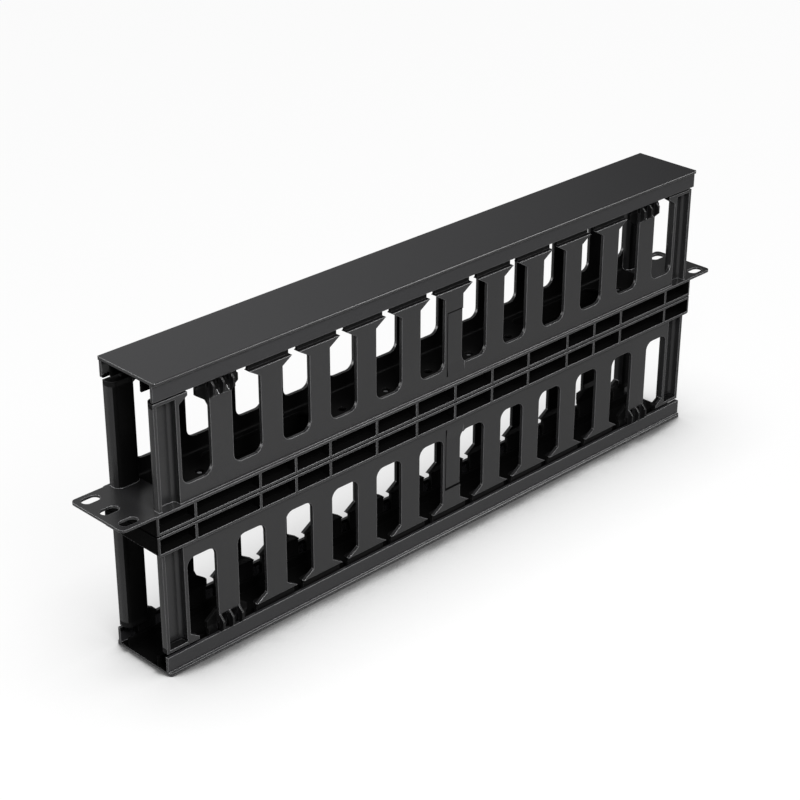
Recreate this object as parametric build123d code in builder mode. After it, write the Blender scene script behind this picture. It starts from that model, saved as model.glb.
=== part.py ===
# Horizontal cable manager: two finger ducts, back to back, that carry a push-on cover each
# Millimetres. X runs along the rack, -Y is the long side in the photograph, and +Z is up.
# The object stands on its lower cover, with the origin at the middle of that cover's outer face.
import os
from build123d import *

# Overall sizes
overall_height = 174.0        # outer face of one cover to outer face of the other
ear_span = 482.6              # nineteen inches, over both ears
ear_width = 43.9              # one rack unit less clearance

# Rack ears, part of the front duct's floor plate
ear_length = 21.0             # from the base's end to the ear's end
ear_corner = 3.0
ear_slot_length = 11.0
ear_slot_width = 6.6
ear_slot_inset = 8.75         # ear's end to the slots' centres, which makes 465.1 between them
ear_slot_step = 15.875        # middle slot to the outer ones

# Base of a duct: a floor plate on a ribbed frame that meets the other duct at the mid-plane
base_width = 45.2
base_height = 12.2            # mid-plane to the floor's upper face
base_gap = 0.5                # mid-plane to the frame, so the two frames stand 1 mm apart
base_corner = 1.5
floor_thickness = 1.5
frame_thickness = 1.4         # flange along the mid-plane side
frame_depth = 6.2             # outer edge of the flange to its web
web_thickness = 1.5
rib_thickness = 1.5
rib_places = (0.0, 31.5, 63.4, 98.9, 124.3, 149.8, 194.3)
end_wall_thickness = 1.8
end_edge_radius = 2.6         # floor-side edge of an end without an ear

# Windows that pass cables from one duct to the other
window_length = 76.2
window_end_gap = 10.7         # window's outer end to the outer screw's axis
window_width = 29.2
window_corner = 5.0

# Holes in the floor, one below each finger that stands clear of a window, and the screws' bosses
boss_diameter = 9.4
floor_hole = 5.0
hole_window_gap = 4.0         # least distance from a hole's edge to a window

# Finger walls
wall_inset = 2.0              # base's edge to the wall's outer face
wall_thickness = 2.2
wall_foot_radius = 2.2        # where a wall rises from the floor, on the inside
slot_count = 12
slot_width = 20.0
slot_floor = 9.8              # floor to the bottom of a slot
slot_corner = 5.5

# End posts, U-shaped in plan and open outwards
post_inset = 3.8              # base's end to the post's outer face
post_width = 16.2
post_depth = 7.0
post_end_thickness = 2.0
post_flank_thickness = 2.2
post_back_thickness = 2.0
post_corner = 4.2
post_inner_corner = 2.3
post_shelf_thickness = 1.8
post_gap = 1.6                # post's top to the cover's lip
post_wing = 5.8               # half head that reaches into the last slot
post_wing_slant = 3.5
post_wing_side = 2.0
post_tongue_inset = 9.0       # post's outer face to its tongue

# Heads of the fingers
head_gap = 4.8                # between the heads of two fingers
head_drop = 4.7               # cover's lip to the head's front edge
wing_slant = 4.7              # height of the slanted underside of a wing
shoulder_rise = 0.6           # fall of the ledge between tongue and head
tongue_narrowing = 1.0        # head's side to the tongue's side
tongue_thickness = 2.2
jog_depth = 2.8               # head's front edge to the start of the inner ramp
tongue_top_gap = 0.3          # tongue's tip to the cover's plate

# Heads of the clip fingers, next to the last one at each end
clip_setback = 2.4
clip_drop = 10.5              # cover's lip to where the finger's face slants back
clip_rise = 2.9               # height of that slant
clip_wing = 6.7
clip_wing_drop = 2.1          # slant's start down to the root of the wings
clip_wing_slant = 4.8
clip_wing_side = 4.0
fin_thickness = 1.2
fin_reach = 3.4               # how far a fin stands out past the finger's face
fin_gap = 0.5                 # fin's top to the cover's lip
fin_slope = 2.0               # height of the fin's upper slope

# Step in the face of the middle finger
step_offset = 5.0             # finger's centre to the step's upright edge
step_depth = 0.6
step_foot = 5.2               # floor to the step's lower end
step_fade = 7.0               # height over which the step runs out
step_height = 39.9

# Covers
cover_thickness = 2.0
cover_overhang = 1.8          # lip's outer face to the plate's edge
cover_nose = 0.9              # rounding of the plate's long edges
cover_corner = 1.5
cover_end_margin = 0.7        # post's outer face to the cover's end
lip_step = 1.0                # wall's outer face to the lip's outer face
lip_thickness = 1.8
lip_height = 11.2             # cover's outer face to the lip's edge
bead_height = 1.6             # bead along the lip's inner edge
bead_reach = 0.9
bead_clearance = 0.3          # bead to the tongues
cover_rib_spacing = 24.8
cover_rib_thickness = 1.2
cover_rib_height = 8.0        # cover's outer face to the rib's edge

# Joining screws, driven from the rear duct into the front duct's bosses
screw_fingers = (1, 5)        # finger counted from the middle, on each side
screw_diameter = 4.9
screw_head_flats = 8.0        # across the flats of the hexagon head
screw_head_height = 3.2
screw_tip_depth = 1.0         # floor's upper face down to the screw's tip

# Places along X, worked out from the ears inwards
base_half = ear_span / 2 - ear_length
post_outer = base_half - post_inset
row_half = post_outer - post_width
finger_width = (2 * row_half - slot_count * slot_width) / (slot_count - 1)
slot_pitch = slot_width + finger_width
slot_places = [(i - (slot_count - 1) / 2) * slot_pitch for i in range(slot_count)]
clip_finger = slot_count // 2 - 1
plain_fingers = [i * slot_pitch for i in range(1 - clip_finger, clip_finger)]
clip_fingers = [side * clip_finger * slot_pitch for side in (-1, 1)]
screw_places = [side * finger * slot_pitch for finger in screw_fingers for side in (-1, 1)]
window_center = max(screw_places) - window_end_gap - window_length / 2
hole_keepout = (window_length + floor_hole) / 2 + hole_window_gap
spare_places = [
    i * slot_pitch
    for i in range(1 - slot_count // 2, slot_count // 2)
    if abs(i) not in screw_fingers and abs(abs(i * slot_pitch) - window_center) > hole_keepout
]

# Places along Y, from the middle plane outwards
base_side = base_width / 2
wall_face = base_side - wall_inset
wall_back = wall_face - wall_thickness
lip_face = wall_face + lip_step
lip_back = lip_face - lip_thickness
tongue_face = lip_back - bead_reach - bead_clearance
tongue_back = tongue_face - tongue_thickness
clip_face = wall_face - clip_setback
clip_back = clip_face - tongue_thickness
web_face = base_side - frame_depth

# Heights above the mid-plane, for the duct that points up
mid_height = overall_height / 2
floor_top = base_height
floor_under = base_height - floor_thickness
frame_top = base_gap + frame_thickness
lip_edge = mid_height - lip_height
post_top = lip_edge - post_gap
head_edge = lip_edge - head_drop
head_wing_root = head_edge - wing_slant
shoulder_top = head_edge + shoulder_rise
jog_start = head_edge - jog_depth
jog_end = jog_start + wall_back - tongue_back
tongue_top = mid_height - cover_thickness - tongue_top_gap
clip_start = lip_edge - clip_drop
clip_end = clip_start + clip_rise
clip_wing_root = clip_start - clip_wing_drop
clip_jog_start = clip_wing_root - (wall_back - clip_back)
finger_top = min(clip_jog_start, jog_start, head_wing_root) - wall_thickness / 2
slot_bottom = floor_top + slot_floor
foot_bite = floor_thickness / 2


# One slot, from its rounded bottom up past the fingers' tops
with BuildSketch() as slot_cut:
    with Locations((0, slot_bottom)):
        Rectangle(slot_width, finger_top - slot_bottom + slot_width, align=(Align.CENTER, Align.MIN))
    fillet(slot_cut.vertices().group_by(Axis.Y)[0], slot_corner)


# Head of a plain finger: a T with a ledge on top, behind which a tongue reaches into the cover
def plain_head():
    half_finger = finger_width / 2
    half_head = (slot_pitch - head_gap) / 2
    half_tongue = half_head - tongue_narrowing
    with BuildPart() as head:
        with BuildSketch(Plane.YZ):
            with BuildLine():
                Polyline(
                    (-wall_face, finger_top),
                    (-wall_face, head_edge),
                    (-tongue_face, shoulder_top),
                    (-tongue_face, tongue_top),
                    (-tongue_back, tongue_top),
                    (-tongue_back, jog_end),
                    (-wall_back, jog_start),
                    (-wall_back, finger_top),
                    close=True,
                )
            make_face()
        extrude(amount=slot_pitch / 2, both=True)
        with BuildSketch(Plane.XZ):
            with BuildLine():
                Polyline(
                    (-half_finger, finger_top),
                    (-half_finger, head_wing_root),
                    (-half_head, head_edge),
                    (-half_tongue, shoulder_top),
                    (-half_tongue, tongue_top),
                    (half_tongue, tongue_top),
                    (half_tongue, shoulder_top),
                    (half_head, head_edge),
                    (half_finger, head_wing_root),
                    (half_finger, finger_top),
                    close=True,
                )
            make_face()
        extrude(amount=base_width, mode=Mode.INTERSECT)
    return head.part


# Head of a clip finger without its fins: the face slants back to wings that stand behind it
def clip_head():
    half_finger = finger_width / 2
    half_wing = half_finger + clip_wing
    half_tongue = half_wing - tongue_narrowing
    wing_corner = clip_wing_root + clip_wing_slant
    wing_top = wing_corner + clip_wing_side
    with BuildPart() as head:
        with BuildSketch(Plane.YZ):
            with BuildLine():
                Polyline(
                    (-wall_face, finger_top),
                    (-wall_face, clip_start),
                    (-clip_face, clip_end),
                    (-clip_back, clip_end),
                    (-clip_back, clip_wing_root),
                    (-wall_back, clip_jog_start),
                    (-wall_back, finger_top),
                    close=True,
                )
            make_face()
        extrude(amount=half_finger, both=True)
        with BuildSketch(Plane.XZ.offset(clip_back)):
            with BuildLine():
                Polyline(
                    (-half_finger, clip_wing_root),
                    (-half_wing, wing_corner),
                    (-half_wing, wing_top),
                    (-half_tongue, wing_top + tongue_narrowing),
                    (-half_tongue, tongue_top),
                    (half_tongue, tongue_top),
                    (half_tongue, wing_top + tongue_narrowing),
                    (half_wing, wing_top),
                    (half_wing, wing_corner),
                    (half_finger, clip_wing_root),
                    close=True,
                )
            make_face()
        extrude(amount=tongue_thickness)
    return head.part


# Fins of a clip finger, which stand out just below the cover's lip
def clip_fins():
    fin_top = lip_edge - fin_gap
    fin_places = [side * (finger_width - fin_thickness) / 2 for side in (-1, 0, 1)]
    with BuildPart() as fins:
        for place in fin_places:
            with BuildSketch(Plane.YZ.offset(place)):
                with BuildLine():
                    Polyline(
                        (-wall_face, clip_start),
                        (-wall_face - fin_reach, clip_start + fin_reach),
                        (-wall_face - fin_reach, fin_top - fin_slope),
                        (-wall_face - fin_reach + fin_slope, fin_top),
                        (-clip_face + tongue_thickness / 2, fin_top),
                        (-clip_face + tongue_thickness / 2, clip_end),
                        close=True,
                    )
                make_face()
            extrude(amount=fin_thickness / 2, both=True)
    return fins.part


# End post at +X: channel, shelf at the cover's end, half head and tongue
def end_post():
    middle = post_outer - post_width / 2
    middle_y = -wall_face + post_depth / 2
    channel_width = post_width - post_end_thickness - post_flank_thickness
    channel_center = middle + (post_flank_thickness - post_end_thickness) / 2
    channel_depth = post_depth - post_back_thickness
    shelf_under = post_top - post_shelf_thickness
    wing_tip = row_half - post_wing
    with BuildPart() as post:
        with BuildSketch(Plane.XY.offset(floor_top - foot_bite)) as outline:
            with Locations((middle, middle_y)):
                Rectangle(post_width, post_depth)
            fillet(outline.vertices().group_by(Axis.Y)[-1], post_corner)
        extrude(amount=post_top - floor_top + foot_bite)
        with BuildSketch(Plane.XY.offset(floor_top)) as channel:
            with Locations((channel_center, -wall_face)):
                Rectangle(channel_width, 2 * channel_depth)
            fillet(channel.vertices().group_by(Axis.Y)[-1], post_inner_corner)
        extrude(amount=shelf_under - floor_top, mode=Mode.SUBTRACT)
        with BuildSketch(Plane.XZ.offset(wall_face)):
            with BuildLine():
                Polyline(
                    (row_half + post_flank_thickness / 2, post_top),
                    (wing_tip, post_top),
                    (wing_tip, post_top - post_wing_side),
                    (row_half, post_top - post_wing_side - post_wing_slant),
                    (row_half + post_flank_thickness / 2, post_top - post_wing_side - post_wing_slant),
                    close=True,
                )
            make_face()
        extrude(amount=tongue_back - wall_face)
        with BuildSketch(Plane.XZ.offset(tongue_face)):
            with Locations((post_outer - post_tongue_inset, post_top)):
                Rectangle(
                    post_outer - post_tongue_inset - wing_tip - tongue_narrowing,
                    tongue_top - post_top,
                    align=(Align.MAX, Align.MIN),
                )
        extrude(amount=-tongue_thickness)
    return post.part


# One finger wall on the -Y side, over the whole length, with its heads, fins and end posts
def finger_wall():
    with BuildPart() as wall:
        with BuildSketch(Plane.XZ.offset(wall_face)):
            with Locations((0, floor_top - foot_bite)):
                Rectangle(
                    2 * row_half + post_flank_thickness,
                    finger_top - floor_top + foot_bite,
                    align=(Align.CENTER, Align.MIN),
                )
            with Locations(*[(place, 0) for place in slot_places]):
                add(slot_cut.sketch, mode=Mode.SUBTRACT)
        extrude(amount=-wall_thickness)
        with Locations(*[(place, 0, 0) for place in plain_fingers]):
            add(plain_head())
        with Locations(*[(place, 0, 0) for place in clip_fingers]):
            add(clip_head())
            add(clip_fins())
        with BuildSketch(Plane.YZ):
            with BuildLine():
                Line((-wall_back, floor_top), (-wall_back + wall_foot_radius, floor_top))
                RadiusArc(
                    (-wall_back + wall_foot_radius, floor_top),
                    (-wall_back, floor_top + wall_foot_radius),
                    wall_foot_radius,
                )
                Line((-wall_back, floor_top + wall_foot_radius), (-wall_back, floor_top))
            make_face()
        extrude(amount=row_half, both=True)
    return wall.part


# Floor plate, ribbed frame and screw bosses of a duct, without its walls
def duct_base(with_ears):
    window_places = [(-window_center, 0), (window_center, 0)]
    with BuildPart() as base:
        with BuildSketch(Plane.XY.offset(base_gap)):
            RectangleRounded(2 * base_half, base_width, base_corner)
        extrude(amount=base_height - base_gap)
        if not with_ears:
            with BuildSketch(Plane.XZ) as end_profile:
                Rectangle(2 * base_half, base_height, align=(Align.CENTER, Align.MIN))
                fillet(end_profile.vertices().group_by(Axis.Y)[-1], end_edge_radius)
            extrude(amount=base_width, both=True, mode=Mode.INTERSECT)
        # Trough between the two webs, and the cells between the ribs
        with BuildSketch(Plane.XY.offset(base_gap)):
            Rectangle(2 * (base_half - end_wall_thickness), 2 * (web_face - web_thickness))
        extrude(amount=floor_under - base_gap, mode=Mode.SUBTRACT)
        with BuildSketch(Plane.XY.offset(frame_top)):
            for side in (-1, 1):
                with Locations((0, side * (web_face + frame_depth))):
                    Rectangle(2 * (base_half - end_wall_thickness), 2 * frame_depth)
        extrude(amount=floor_under - frame_top, mode=Mode.SUBTRACT)
        with BuildSketch(Plane.XY.offset(frame_top)):
            for place in rib_places:
                for x in sorted({-place, place}):
                    for side in (-1, 1):
                        with Locations((x, side * (base_side - frame_depth / 2))):
                            Rectangle(rib_thickness, frame_depth)
        extrude(amount=floor_under - frame_top)
        if with_ears:
            with BuildSketch(Plane.XY.offset(floor_under)):
                RectangleRounded(ear_span, ear_width, ear_corner)
            extrude(amount=floor_thickness)
        with BuildSketch(Plane.XY):
            with Locations(*[(place, 0) for place in screw_places]):
                Circle(boss_diameter / 2)
        extrude(amount=floor_under)
        # Openings that go right through
        with BuildSketch(Plane.XY):
            with Locations(*window_places):
                RectangleRounded(window_length, window_width, window_corner)
            with Locations(*[(place, 0) for place in screw_places + spare_places]):
                Circle(floor_hole / 2)
            if with_ears:
                for side in (-1, 1):
                    for row in (-1, 0, 1):
                        with Locations((side * (ear_span / 2 - ear_slot_inset), row * ear_slot_step)):
                            SlotOverall(ear_slot_length, ear_slot_width)
        extrude(amount=base_height, mode=Mode.SUBTRACT)
    return base.part


# A whole duct that points up from the mid-plane
def duct(with_ears):
    with BuildPart() as body:
        add(duct_base(with_ears))
        add(finger_wall())
        add(end_post())
        add(end_post().mirror(Plane.YZ))
        with BuildSketch(Plane.YZ.offset(-step_offset)):
            with BuildLine():
                Polyline(
                    (-wall_face, floor_top + step_foot),
                    (-wall_face + step_depth, floor_top + step_foot + step_fade),
                    (-wall_face + step_depth, floor_top + step_foot + step_height),
                    (-wall_face - wall_inset, floor_top + step_foot + step_height),
                    (-wall_face - wall_inset, floor_top + step_foot),
                    close=True,
                )
            make_face()
        extrude(amount=step_offset + finger_width / 2 + wall_inset, mode=Mode.SUBTRACT)
        add(body.part.mirror(Plane.XZ))
    return body.part


# Front duct, with the rack ears
with BuildPart() as front_duct:
    with Locations((0, 0, mid_height)):
        add(duct(True))

# Rear duct, the same moulding without ears, turned over
with BuildPart() as rear_duct:
    with Locations(Location((0, 0, mid_height), (180, 0, 0))):
        add(duct(False))

# Cover that points up: a plate with a beaded lip and an inner rib along each side, open at both ends
def cover():
    plate_half = lip_face + cover_overhang
    cover_half = post_outer + cover_end_margin
    lip_depth = lip_height - cover_thickness / 2
    rib_depth = cover_rib_height - cover_thickness / 2
    bead_width = lip_thickness + bead_reach
    with BuildPart() as shell:
        with BuildSketch(Plane.YZ) as plate:
            with Locations((0, mid_height)):
                Rectangle(2 * plate_half, cover_thickness, align=(Align.CENTER, Align.MAX))
            fillet(plate.vertices(), cover_nose)
        extrude(amount=cover_half, both=True)
        with BuildSketch(Plane.XY.offset(mid_height)):
            RectangleRounded(2 * cover_half, 2 * plate_half, cover_corner)
        extrude(amount=-cover_thickness, mode=Mode.INTERSECT)
        with BuildSketch(Plane.YZ):
            for side in (-1, 1):
                with Locations((side * (lip_face - lip_thickness / 2), lip_edge)):
                    Rectangle(lip_thickness, lip_depth, align=(Align.CENTER, Align.MIN))
                with Locations((side * (lip_face - bead_width / 2), lip_edge)):
                    Rectangle(bead_width, bead_height, align=(Align.CENTER, Align.MIN))
                with Locations((side * cover_rib_spacing / 2, mid_height - cover_rib_height)):
                    Rectangle(cover_rib_thickness, rib_depth, align=(Align.CENTER, Align.MIN))
        extrude(amount=cover_half, both=True)
    return shell.part


with BuildPart() as front_cover:
    with Locations((0, 0, mid_height)):
        add(cover())

with BuildPart() as rear_cover:
    with Locations(Location((0, 0, mid_height), (180, 0, 0))):
        add(cover())


# Joining screws: hexagon heads in the rear duct, points in the front duct's bosses
with BuildPart() as joining_screws:
    with BuildSketch(Plane.XY.offset(mid_height - floor_top)):
        with Locations(*[(place, 0) for place in screw_places]):
            RegularPolygon(screw_head_flats / 2, 6, major_radius=False)
    extrude(amount=-screw_head_height)
    with BuildSketch(Plane.XY.offset(mid_height - floor_top)):
        with Locations(*[(place, 0) for place in screw_places]):
            Circle(screw_diameter / 2)
    extrude(amount=2 * floor_top - screw_tip_depth)


# Names and files
front_duct.part.label = "front_duct"
rear_duct.part.label = "rear_duct"
front_cover.part.label = "front_cover"
rear_cover.part.label = "rear_cover"
joining_screws.part.label = "joining_screws"
os.makedirs("parts", exist_ok=True)
export_step(front_duct.part, "parts/front_duct.step")
export_step(rear_duct.part, "parts/rear_duct.step")
export_step(front_cover.part, "parts/front_cover.step")
export_step(rear_cover.part, "parts/rear_cover.step")
export_step(joining_screws.part, "parts/joining_screws.step")
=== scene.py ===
from math import radians, sin, cos
import bpy
import numpy as np
from mathutils import Euler, Matrix, Vector


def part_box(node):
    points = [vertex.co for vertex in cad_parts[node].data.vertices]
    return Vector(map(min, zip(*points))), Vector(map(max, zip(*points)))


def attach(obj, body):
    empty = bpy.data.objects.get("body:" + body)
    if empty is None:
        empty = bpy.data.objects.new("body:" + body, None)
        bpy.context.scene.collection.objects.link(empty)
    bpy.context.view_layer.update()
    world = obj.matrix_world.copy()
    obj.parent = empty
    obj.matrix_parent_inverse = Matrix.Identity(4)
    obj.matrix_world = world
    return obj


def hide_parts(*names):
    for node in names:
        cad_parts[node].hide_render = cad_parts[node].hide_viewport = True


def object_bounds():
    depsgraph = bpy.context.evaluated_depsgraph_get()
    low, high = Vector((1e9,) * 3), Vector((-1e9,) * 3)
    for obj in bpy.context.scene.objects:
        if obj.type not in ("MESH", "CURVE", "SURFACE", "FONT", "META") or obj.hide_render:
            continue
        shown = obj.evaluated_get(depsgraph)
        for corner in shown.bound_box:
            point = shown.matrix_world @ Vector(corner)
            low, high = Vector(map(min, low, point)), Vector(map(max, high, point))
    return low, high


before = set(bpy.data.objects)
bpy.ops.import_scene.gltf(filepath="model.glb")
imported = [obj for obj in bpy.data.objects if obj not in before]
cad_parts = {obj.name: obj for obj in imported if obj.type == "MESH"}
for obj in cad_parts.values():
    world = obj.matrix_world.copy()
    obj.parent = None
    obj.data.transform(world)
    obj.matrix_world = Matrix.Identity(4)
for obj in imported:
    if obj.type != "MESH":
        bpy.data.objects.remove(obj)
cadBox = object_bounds()
middle = (cadBox[0] + cadBox[1]) / 2
print("frame loaded:", ", ".join(sorted(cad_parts)))

# How the camera sees the object: the photograph's own angle, in metres and degrees
cameraSettings = {
    "target": (-0.023, 0.0, 0.0885),
    "turn": 44.79,          # from +Y towards +X
    "dip": 26.77,           # below the horizon
    "roll": 0.16,
    "distance": 1.1528,
    "focalPixels": 1984.1,  # for a frame of framePixels
    "framePixels": 800.0,
    "sensor": 36.0,         # millimetres
    "nearest": 0.05,
    "farthest": 50.0,
}


# Camera: it looks along the direction whose bearing is turn and whose fall is dip
def placeCamera(s):
    turn, dip = radians(s["turn"]), radians(s["dip"])
    ahead = Vector((sin(turn) * cos(dip), cos(turn) * cos(dip), -sin(dip)))
    data = bpy.data.cameras.new("photoCamera")
    camera = bpy.data.objects.new("photoCamera", data)
    bpy.context.scene.collection.objects.link(camera)
    data.sensor_width = s["sensor"]
    data.lens = s["sensor"] * s["focalPixels"] / s["framePixels"]
    data.clip_start, data.clip_end = s["nearest"], s["farthest"]
    camera.location = Vector(s["target"]) - ahead * s["distance"]
    facing = Euler((radians(90) - dip, 0.0, -turn)).to_matrix()
    camera.rotation_euler = (facing @ Matrix.Rotation(radians(s["roll"]), 3, "Z")).to_euler()
    bpy.context.scene.camera = camera
    print("camera placed")


# Blender tells a Mix node's sockets apart by number: its share, first and second value, and mixed output
mixSockets = {"FLOAT": (0, 2, 3, 0), "RGBA": (0, 6, 7, 2)}


# A Mix node of numbers or of colours, as those four sockets
def mixNode(nodes, kind):
    node = nodes.new("ShaderNodeMix")
    node.data_type = kind
    share, first, second, mixed = mixSockets[kind]
    return node.inputs[share], node.inputs[first], node.inputs[second], node.outputs[mixed]


# Room around the object: white to the camera, brighter at the back left in reflections
roomSettings = {
    "color": (1.0, 1.0, 1.0, 1.0),
    "seen": 0.985,
    "light": 0.35,          # how strongly the room lights the object
    "brightSide": (-0.8, 0.6, 0.0),
    "glossBright": 0.50,
    "glossDim": 0.01,
    "dimFrom": -0.36,       # along brightSide
    "brightFrom": 0.15,
}


# World: plain white to the camera, a slope of white in reflections, and even light on the object
def makeWorld(s):
    world = bpy.data.worlds.new("paleRoom")
    bpy.context.scene.world = world
    world.use_nodes = True
    nodes, link = world.node_tree.nodes, world.node_tree.links.new
    background = nodes["Background"]
    background.inputs["Color"].default_value = s["color"]
    where = nodes.new("ShaderNodeTexCoord")
    slope = nodes.new("ShaderNodeVectorMath")
    slope.operation = "DOT_PRODUCT"
    slope.inputs[1].default_value = s["brightSide"]
    gloss = nodes.new("ShaderNodeMapRange")
    gloss.inputs["From Min"].default_value = s["dimFrom"]
    gloss.inputs["From Max"].default_value = s["brightFrom"]
    gloss.inputs["To Min"].default_value = s["glossDim"]
    gloss.inputs["To Max"].default_value = s["glossBright"]
    ray = nodes.new("ShaderNodeLightPath")
    seen = nodes.new("ShaderNodeMath")
    seen.operation = "MAXIMUM"
    isGlossy, even, sloped, lit = mixNode(nodes, "FLOAT")
    even.default_value = s["light"]
    isSeen, unseen, plain, level = mixNode(nodes, "FLOAT")
    plain.default_value = s["seen"]
    link(where.outputs["Generated"], slope.inputs[0])
    link(slope.outputs["Value"], gloss.inputs["Value"])
    link(ray.outputs["Is Camera Ray"], seen.inputs[0])
    link(ray.outputs["Is Transmission Ray"], seen.inputs[1])
    link(ray.outputs["Is Glossy Ray"], isGlossy)
    link(gloss.outputs["Result"], sloped)
    link(seen.outputs["Value"], isSeen)
    link(lit, unseen)
    link(level, background.inputs["Strength"])


# Square soft lamps: the edge lamp's glint shows on every edge that runs along the ducts, and the back lamp
# lights the ends and the far side
lampSettings = {
    "front": {"place": (-0.30, -0.45, 0.60), "size": 0.22, "power": 6.5},
    "edge": {"place": (1.45, -1.03, 1.54), "size": 1.1, "power": 31.0},
    "back": {"place": (-1.25, 1.20, 0.45), "size": 0.9, "power": 13.0},
}


# Lamps that face the object's middle
def makeLamps(lamps):
    for name, s in lamps.items():
        data = bpy.data.lights.new(name, "AREA")
        data.size = s["size"]
        data.energy = s["power"]
        lamp = bpy.data.objects.new(name, data)
        bpy.context.scene.collection.objects.link(lamp)
        lamp.location = s["place"]
        lamp.rotation_mode = "QUATERNION"
        lamp.rotation_quaternion = (middle - Vector(s["place"])).to_track_quat("-Z", "Y")


# Floor: white to the camera, with a soft shadow where the object stands close to it
floorSettings = {
    "half": 6.0,
    "seenColor": (0.75, 0.75, 0.75, 1.0),
    "bounceColor": (0.32, 0.32, 0.32, 1.0),
    "rough": 0.9,
    "specular": 0.1,
    "glow": 0.92,           # share of the camera's view that is plain white under the shadow
    "shadowReach": 0.080,
    "shadowSamples": 32,
    "shadowSteps": (        # how open a spot is, and its grey
        (0.0, 0.02), (0.55, 0.07), (0.61, 0.28), (0.635, 0.50), (0.70, 0.69),
        (0.77, 0.76), (0.84, 0.84), (0.91, 0.90), (0.97, 0.96), (1.0, 1.0),
    ),
}


# Floor: one square at the height the object stands on, whose corners lie half its side away along X and Y
def makeFloor(s):
    half = s["half"]
    corners = np.array([(-half, -half, 0.0), (half, -half, 0.0), (half, half, 0.0), (-half, half, 0.0)])
    mesh = bpy.data.meshes.new("floor")
    mesh.from_pydata(corners.tolist(), [], [(0, 1, 2, 3)])
    floor = bpy.data.objects.new("floor", mesh)
    bpy.context.scene.collection.objects.link(floor)
    material = bpy.data.materials.new("paleFloor")
    material.use_nodes = True
    nodes, link = material.node_tree.nodes, material.node_tree.links.new
    shader = nodes["Principled BSDF"]
    shader.inputs["Roughness"].default_value = s["rough"]
    shader.inputs["Specular IOR Level"].default_value = s["specular"]
    near = nodes.new("ShaderNodeAmbientOcclusion")
    near.samples = s["shadowSamples"]
    near.inputs["Distance"].default_value = s["shadowReach"]
    grey = nodes.new("ShaderNodeFloatCurve")
    curve = grey.mapping.curves[0]
    for openness, value in s["shadowSteps"][1:-1]:
        curve.points.new(openness, value)
    curve.points[0].location = s["shadowSteps"][0]
    curve.points[-1].location = s["shadowSteps"][-1]
    grey.mapping.update()
    glow = nodes.new("ShaderNodeEmission")
    ray = nodes.new("ShaderNodeLightPath")
    share = nodes.new("ShaderNodeMath")
    share.operation = "MULTIPLY"
    share.inputs[1].default_value = s["glow"]
    isCamera, bounce, seen, paint = mixNode(nodes, "RGBA")
    bounce.default_value = s["bounceColor"]
    seen.default_value = s["seenColor"]
    blend = nodes.new("ShaderNodeMixShader")
    link(near.outputs["AO"], grey.inputs["Value"])
    link(grey.outputs["Value"], glow.inputs["Strength"])
    link(ray.outputs["Is Camera Ray"], share.inputs[0])
    link(ray.outputs["Is Camera Ray"], isCamera)
    link(paint, shader.inputs["Base Color"])
    link(share.outputs["Value"], blend.inputs["Fac"])
    link(shader.outputs["BSDF"], blend.inputs[1])
    link(glow.outputs["Emission"], blend.inputs[2])
    link(blend.outputs["Shader"], nodes["Material Output"].inputs["Surface"])
    mesh.materials.append(material)


# An empty shader group with named inputs and outputs, each given as its name and kind
def newGroup(title, inputs, outputs):
    group = bpy.data.node_groups.new(title, "ShaderNodeTree")
    for way, sockets in (("INPUT", inputs), ("OUTPUT", outputs)):
        for name, kind in sockets.items():
            group.interface.new_socket(name=name, in_out=way, socket_type="NodeSocket" + kind)
    nodes = group.nodes
    return nodes, group.links.new, nodes.new("NodeGroupInput").outputs, nodes.new("NodeGroupOutput").inputs


# Grain that the mould leaves
grainSettings = {
    "cloudDetail": 3.0,
    "grainDetail": 2.0,
    "glossShare": 0.5,      # how much of the gloss follows the clouds, and how much the grain
}


# Shared effect: slow clouds of colour and gloss over a fine grain, from Object coordinates
def mouldedGrainGroup(s):
    nodes, link, given, out = newGroup(
        "mouldedGrain",
        {"Dark": "Color", "Light": "Color", "Smooth": "Float", "Rough": "Float",
         "Grain Scale": "Float", "Cloud Scale": "Float"},
        {"Color": "Color", "Roughness": "Float", "Height": "Float"},
    )
    where = nodes.new("ShaderNodeTexCoord")
    cloud = nodes.new("ShaderNodeTexNoise")
    cloud.inputs["Detail"].default_value = s["cloudDetail"]
    grain = nodes.new("ShaderNodeTexNoise")
    grain.inputs["Detail"].default_value = s["grainDetail"]
    for noise, scale in ((cloud, "Cloud Scale"), (grain, "Grain Scale")):
        link(where.outputs["Object"], noise.inputs["Vector"])
        link(given[scale], noise.inputs["Scale"])
    share, dark, light, tone = mixNode(nodes, "RGBA")
    link(cloud.outputs["Fac"], share)
    link(given["Dark"], dark)
    link(given["Light"], light)
    ofGrain = nodes.new("ShaderNodeMath")
    ofGrain.operation = "MULTIPLY"
    ofGrain.inputs[1].default_value = s["glossShare"]
    ofBoth = nodes.new("ShaderNodeMath")
    ofBoth.operation = "MULTIPLY_ADD"
    ofBoth.inputs[1].default_value = s["glossShare"]
    gloss = nodes.new("ShaderNodeMapRange")
    link(grain.outputs["Fac"], ofGrain.inputs[0])
    link(cloud.outputs["Fac"], ofBoth.inputs[0])
    link(ofGrain.outputs["Value"], ofBoth.inputs[2])
    link(ofBoth.outputs["Value"], gloss.inputs["Value"])
    link(given["Smooth"], gloss.inputs["To Min"])
    link(given["Rough"], gloss.inputs["To Max"])
    link(tone, out["Color"])
    link(gloss.outputs["Result"], out["Roughness"])
    link(grain.outputs["Fac"], out["Height"])


# Inside faces: rougher and without the skin's gloss, and near-black as painted shade where little light
# reaches
mattPaintedShade = {
    "dark": (0.001, 0.001, 0.001, 1.0),
    "light": (0.002, 0.002, 0.002, 1.0),
    "smooth": 0.75,
    "rough": 0.90,
    "sheen": 0.0,
}
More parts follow.
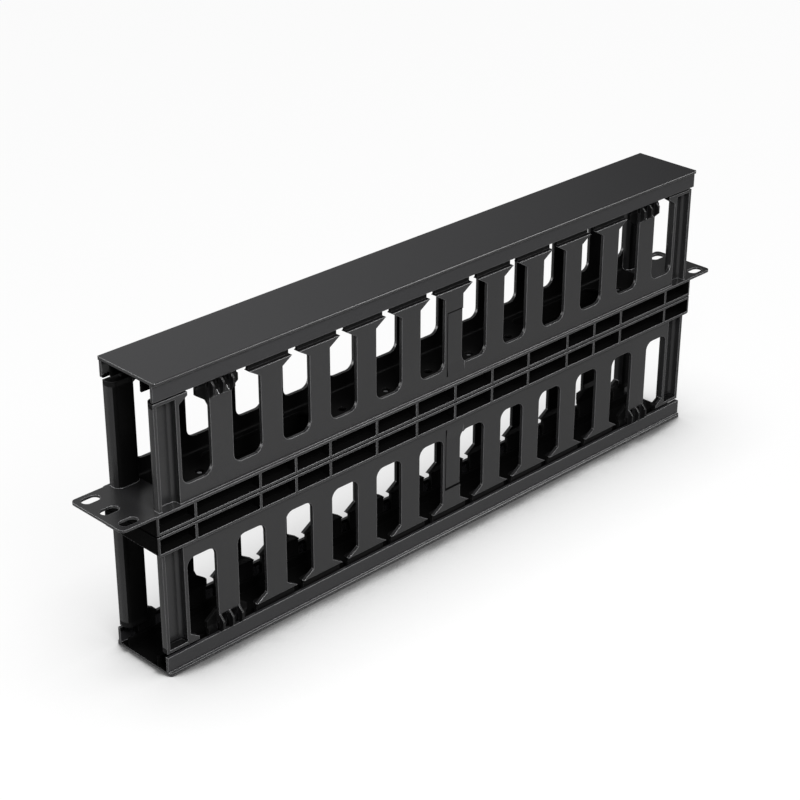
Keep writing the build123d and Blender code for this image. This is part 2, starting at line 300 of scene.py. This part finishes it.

# Where the painted shade lies, as boxes: how strongly shaded and matt, then the lowest and the highest
# corner, with X along the ducts, Y away from the mid-plane and Z away from mid-height. The boxes darken the
# cells, the tongues under the lips, the inside walls, the backs of the posts and the fins, where shade
# falls
ductShadeBoxes = {
    "cells": (1.0, (-0.2300, 0.0, 0.0), (0.2300, 0.0222, 0.0107)),
    "tongues": (0.8, (-0.2300, 0.0, 0.0712), (0.2300, 0.0203, 0.0900)),
    "walls": (0.94, (-0.2000, 0.0, 0.0107), (0.2000, 0.0186, 0.0712)),
    "postBacks": (0.94, (-0.2300, 0.0, 0.0125), (0.2300, 0.0146, 0.0712)),
    "fins": (0.7, (-0.2300, 0.0208, 0.0640), (0.2300, 0.0300, 0.0760)),
    # stepSide and stepTop paint a dark shadow line along the step on the middle finger
    "stepSide": (1.0, (-0.0056, 0.0186, 0.0174), (-0.0044, 0.0210, 0.0573)),
    "stepTop": (1.0, (-0.0056, 0.0186, 0.0568), (0.0090, 0.0210, 0.0578)),
}
# Painted shade on the inside of the covers, between the lips
coverShadeBoxes = {
    "betweenLips": (1.0, (-0.2300, 0.0, 0.0), (0.2300, 0.0197, 0.0853)),
}


# Shared effect: a mask of painted shade and mattness, which is the given weight inside the box from Low to
# High, or what it was before where that is more. Y and Z lose their signs, so that both sides and both
# ducts are masked alike
def paintedShadeBoxGroup():
    nodes, link, given, out = newGroup(
        "paintedShadeBox",
        {"Before": "Float", "MattShade": "Float", "Low": "Vector", "High": "Vector"},
        {"Mask": "Float"},
    )
    where = nodes.new("ShaderNodeTexCoord")
    axes = nodes.new("ShaderNodeSeparateXYZ")
    lowest = nodes.new("ShaderNodeSeparateXYZ")
    highest = nodes.new("ShaderNodeSeparateXYZ")
    link(where.outputs["Object"], axes.inputs["Vector"])
    link(given["Low"], lowest.inputs["Vector"])
    link(given["High"], highest.inputs["Vector"])

    # A Math node of sockets or numbers, as its output
    def step(operation, *values):
        node = nodes.new("ShaderNodeMath")
        node.operation = operation
        for socket, value in zip(node.inputs, values):
            if isinstance(value, float):
                socket.default_value = value
            else:
                link(value, socket)
        return node.outputs["Value"]

    places = {
        "X": axes.outputs["X"],
        "Y": step("ABSOLUTE", axes.outputs["Y"]),
        "Z": step("ABSOLUTE", step("SUBTRACT", axes.outputs["Z"], middle.z)),
    }
    inside = given["MattShade"]
    for axis, place in places.items():
        inside = step("MULTIPLY", inside, step("GREATER_THAN", place, lowest.outputs[axis]))
        inside = step("MULTIPLY", inside, step("LESS_THAN", place, highest.outputs[axis]))
    link(step("MAXIMUM", given["Before"], inside), out["Mask"])


# Painted highlight: a thin lighter colour where an edge is rounded, standing in for the glint along it
paintedEdgeHighlight = {
    "color": (0.125, 0.125, 0.128, 1.0),
    "flat": 0.985,          # cosine between the rounded and the true normal where the line starts
    "full": 0.80,
}


# Shared effect: a mask of painted highlight that is 1 along an edge, where the rounded normal turns away
# from the true one, less what is painted shade there
def paintedHighlightGroup():
    nodes, link, given, out = newGroup(
        "paintedHighlight",
        {"Rounded": "Vector", "MattShade": "Float", "Flat": "Float", "Full": "Float"},
        {"Mask": "Float"},
    )
    surface = nodes.new("ShaderNodeNewGeometry")
    cosine = nodes.new("ShaderNodeVectorMath")
    cosine.operation = "DOT_PRODUCT"
    line = nodes.new("ShaderNodeMapRange")
    bare = nodes.new("ShaderNodeMath")
    bare.operation = "SUBTRACT"
    bare.use_clamp = True
    link(given["Rounded"], cosine.inputs[0])
    link(surface.outputs["Normal"], cosine.inputs[1])
    link(cosine.outputs["Value"], line.inputs["Value"])
    link(given["Flat"], line.inputs["From Min"])
    link(given["Full"], line.inputs["From Max"])
    link(line.outputs["Result"], bare.inputs[0])
    link(given["MattShade"], bare.inputs[1])
    link(bare.outputs["Value"], out["Mask"])


# Places a shader group in a material and gives its inputs their values
def placeGroup(nodes, title, values):
    node = nodes.new("ShaderNodeGroup")
    node.node_tree = bpy.data.node_groups[title]
    for name, value in values.items():
        node.inputs[name].default_value = value
    return node


# Black plastic of the ducts, with a fine moulded grain
ductFinish = {
    "dark": (0.010, 0.010, 0.0105, 1.0),
    "light": (0.016, 0.016, 0.0165, 1.0),
    "smooth": 0.28,
    "rough": 0.36,
    "metallic": 0.0,
    "sheen": 1.0,           # weight of the smooth moulded skin
    "skinRough": 0.27,
    "specular": 0.03,
    "grainScale": 2600.0,
    "grainDepth": 0.00002,
    "grainStrength": 0.5,
    "cloudScale": 9.0,
    "edgeRadius": 0.0008,
    "edgeSamples": 6,
}

# Black plastic of the covers, a little smoother
coverFinish = {
    "dark": (0.011, 0.011, 0.012, 1.0),
    "light": (0.016, 0.016, 0.017, 1.0),
    "smooth": 0.28,
    "rough": 0.34,
    "metallic": 0.0,
    "sheen": 1.0,
    "skinRough": 0.25,
    "specular": 0.03,
    "grainScale": 3200.0,
    "grainDepth": 0.000012,
    "grainStrength": 0.5,
    "cloudScale": 7.0,
    "edgeRadius": 0.0008,
    "edgeSamples": 6,
}

# Zinc-plated steel of the joining screws
screwFinish = {
    "dark": (0.42, 0.43, 0.45, 1.0),
    "light": (0.62, 0.62, 0.64, 1.0),
    "smooth": 0.28,
    "rough": 0.44,
    "metallic": 1.0,
    "sheen": 0.0,
    "skinRough": 0.30,
    "specular": 0.50,
    "grainScale": 5200.0,
    "grainDepth": 0.00001,
    "grainStrength": 0.5,
    "cloudScale": 160.0,
    "edgeRadius": 0.0002,
    "edgeSamples": 6,
}


# One finish: the shared grain, a bevelled normal that rounds the edges, and the shader's own gloss. With
# boxes it is matt and painted dark as shade inside them, and has a painted highlight along its edges
def makeFinish(title, s, boxes=None):
    material = bpy.data.materials.new(title)
    material.use_nodes = True
    nodes, link = material.node_tree.nodes, material.node_tree.links.new
    shader = nodes["Principled BSDF"]
    shader.inputs["Metallic"].default_value = s["metallic"]
    shader.inputs["Specular IOR Level"].default_value = s["specular"]
    shader.inputs["Coat Weight"].default_value = s["sheen"]
    shader.inputs["Coat Roughness"].default_value = s["skinRough"]
    grain = placeGroup(nodes, "mouldedGrain", {
        "Dark": s["dark"], "Light": s["light"], "Smooth": s["smooth"], "Rough": s["rough"],
        "Grain Scale": s["grainScale"], "Cloud Scale": s["cloudScale"],
    })
    edge = nodes.new("ShaderNodeBevel")
    edge.samples = s["edgeSamples"]
    edge.inputs["Radius"].default_value = s["edgeRadius"]
    bump = nodes.new("ShaderNodeBump")
    bump.inputs["Distance"].default_value = s["grainDepth"]
    bump.inputs["Strength"].default_value = s["grainStrength"]
    link(grain.outputs["Color"], shader.inputs["Base Color"])
    link(grain.outputs["Roughness"], shader.inputs["Roughness"])
    link(grain.outputs["Height"], bump.inputs["Height"])
    link(edge.outputs["Normal"], bump.inputs["Normal"])
    link(bump.outputs["Normal"], shader.inputs["Normal"])
    link(edge.outputs["Normal"], shader.inputs["Coat Normal"])
    if boxes:
        addPaintedShadeBoxes(nodes, link, s, shader, grain, edge, boxes)
    return material


# Mixes the matt finish with painted shade into a finish inside its boxes, and a painted highlight colour
# along its edges
def addPaintedShadeBoxes(nodes, link, s, shader, grain, edge, boxes):
    mask = None
    # Painted shade: inside each box the colour turns near-black and the skin's gloss goes
    for mattShade, low, high in boxes.values():
        box = placeGroup(nodes, "paintedShadeBox", {"MattShade": mattShade, "Low": low, "High": high})
        if mask is not None:
            link(mask, box.inputs["Before"])
        mask = box.outputs["Mask"]
    for socket, value, kind in (
        (grain.inputs["Dark"], "dark", "RGBA"), (grain.inputs["Light"], "light", "RGBA"),
        (grain.inputs["Smooth"], "smooth", "FLOAT"), (grain.inputs["Rough"], "rough", "FLOAT"),
        (shader.inputs["Coat Weight"], "sheen", "FLOAT"),
    ):
        share, outer, inner, mixed = mixNode(nodes, kind)
        outer.default_value = s[value]
        inner.default_value = mattPaintedShade[value]
        link(mask, share)
        link(mixed, socket)
    # Painted highlight: a lighter base colour along the rounded edges
    line = placeGroup(nodes, "paintedHighlight", {"Flat": paintedEdgeHighlight["flat"], "Full": paintedEdgeHighlight["full"]})
    share, plain, bright, paint = mixNode(nodes, "RGBA")
    bright.default_value = paintedEdgeHighlight["color"]
    link(edge.outputs["Normal"], line.inputs["Rounded"])
    link(mask, line.inputs["MattShade"])
    link(line.outputs["Mask"], share)
    link(grain.outputs["Color"], plain)
    link(paint, shader.inputs["Base Color"])


# Gives a CAD node its finish, in each of its material slots
def dressNode(name, material):
    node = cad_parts[name]
    if not node.material_slots:
        node.data.materials.append(material)
    for slot in node.material_slots:
        slot.material = material


# Joining screws: hexagon heads and threads, in metres
screwShape = {
    "flats": 0.0080,
    "headHeight": 0.0032,
    "crown": 0.0004,        # height over which the head's corners are turned off
    "crownRadius": 0.0037,
    "shank": 0.00245,       # radius of the crests
    "threadDepth": 0.0003,
    "pitch": 0.0010,
    "taper": 0.0020,
    "tip": 0.0014,
    "around": 24,
    "rowsPerTurn": 6,
    "sharpest": 35.0,       # degrees over which an edge stays sharp
    "fingers": (1, 5),      # counted from the middle, the last one being the outermost
}


# Screws, each turned about its own axis: a point lies at its row's radius times the cosine and sine of its
# angle. Along the shank that radius falls by a triangle wave of height over pitch, less angle over a turn
def makeScrews(s, material):
    low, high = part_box("joining_screws")
    count = s["around"]
    angle = np.arange(count) / count * 2 * np.pi
    hexagon = s["flats"] / 2 / np.cos(np.mod(angle, np.pi / 3) - np.pi / 6)
    under = low[2] + s["headHeight"]
    rows = int((high[2] - under) / s["pitch"] * s["rowsPerTurn"])
    shankRise = np.linspace(under, high[2], rows)
    turn = shankRise[:, None] / s["pitch"] - angle / (2 * np.pi)
    shank = s["shank"] - s["threadDepth"] * 2 * np.abs(np.mod(turn, 1) - 0.5)
    narrow = s["tip"] / s["shank"]
    shank *= (narrow + (1 - narrow) * np.clip((high[2] - shankRise) / s["taper"], 0, 1))[:, None]
    crown = np.full(count, s["crownRadius"])
    radius = np.vstack([crown, hexagon, hexagon, shank])
    rise = np.concatenate([[low[2], low[2] + s["crown"], under], shankRise])[:, None]
    ring = np.stack([radius * np.cos(angle), radius * np.sin(angle), rise + np.zeros(count)], -1)
    spot = np.arange(radius.size).reshape(radius.shape)
    after = np.roll(spot, -1, 1)
    walls = np.stack([spot[:-1], after[:-1], after[1:], spot[1:]], -1).reshape(-1, 4)
    foot, point = radius.size, radius.size + 1
    footFan = np.stack([np.full(count, foot), after[0], spot[0]], -1)
    pointFan = np.stack([np.full(count, point), spot[-1], after[-1]], -1)
    screw = np.vstack([ring.reshape(-1, 3), [(0, 0, low[2]), (0, 0, high[2])]])
    outermost = high[0] - s["flats"] / 3 ** 0.5  # half the head's width over its corners
    places = [side * outermost * finger / max(s["fingers"]) for finger in s["fingers"] for side in (-1, 1)]
    corners = np.vstack([screw + (place, 0, 0) for place in places])
    faces = []
    for index in range(len(places)):
        for part in (walls, footFan, pointFan):
            faces += (part + index * len(screw)).tolist()
    mesh = bpy.data.meshes.new("threadedScrews")
    mesh.from_pydata(corners.tolist(), [], faces)
    mesh.shade_smooth()
    mesh.set_sharp_from_angle(angle=radians(s["sharpest"]))
    mesh.materials.append(material)
    screws = bpy.data.objects.new("threadedScrews", mesh)
    bpy.context.scene.collection.objects.link(screws)
    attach(screws, "ducts")
    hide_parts("joining_screws")
    print("screws threaded")


bpy.context.scene.view_settings.view_transform = "Standard"
placeCamera(cameraSettings)
makeWorld(roomSettings)
makeLamps(lampSettings)
makeFloor(floorSettings)
print("room ready")

mouldedGrainGroup(grainSettings)
paintedShadeBoxGroup()
paintedHighlightGroup()
ductPlastic = makeFinish("ductPlastic", ductFinish, ductShadeBoxes)
coverPlastic = makeFinish("coverPlastic", coverFinish, coverShadeBoxes)
screwZinc = makeFinish("screwZinc", screwFinish)
for node in ("front_duct", "rear_duct"):
    dressNode(node, ductPlastic)
for node in ("front_cover", "rear_cover"):
    dressNode(node, coverPlastic)
makeScrews(screwShape, screwZinc)
print("finishes given")
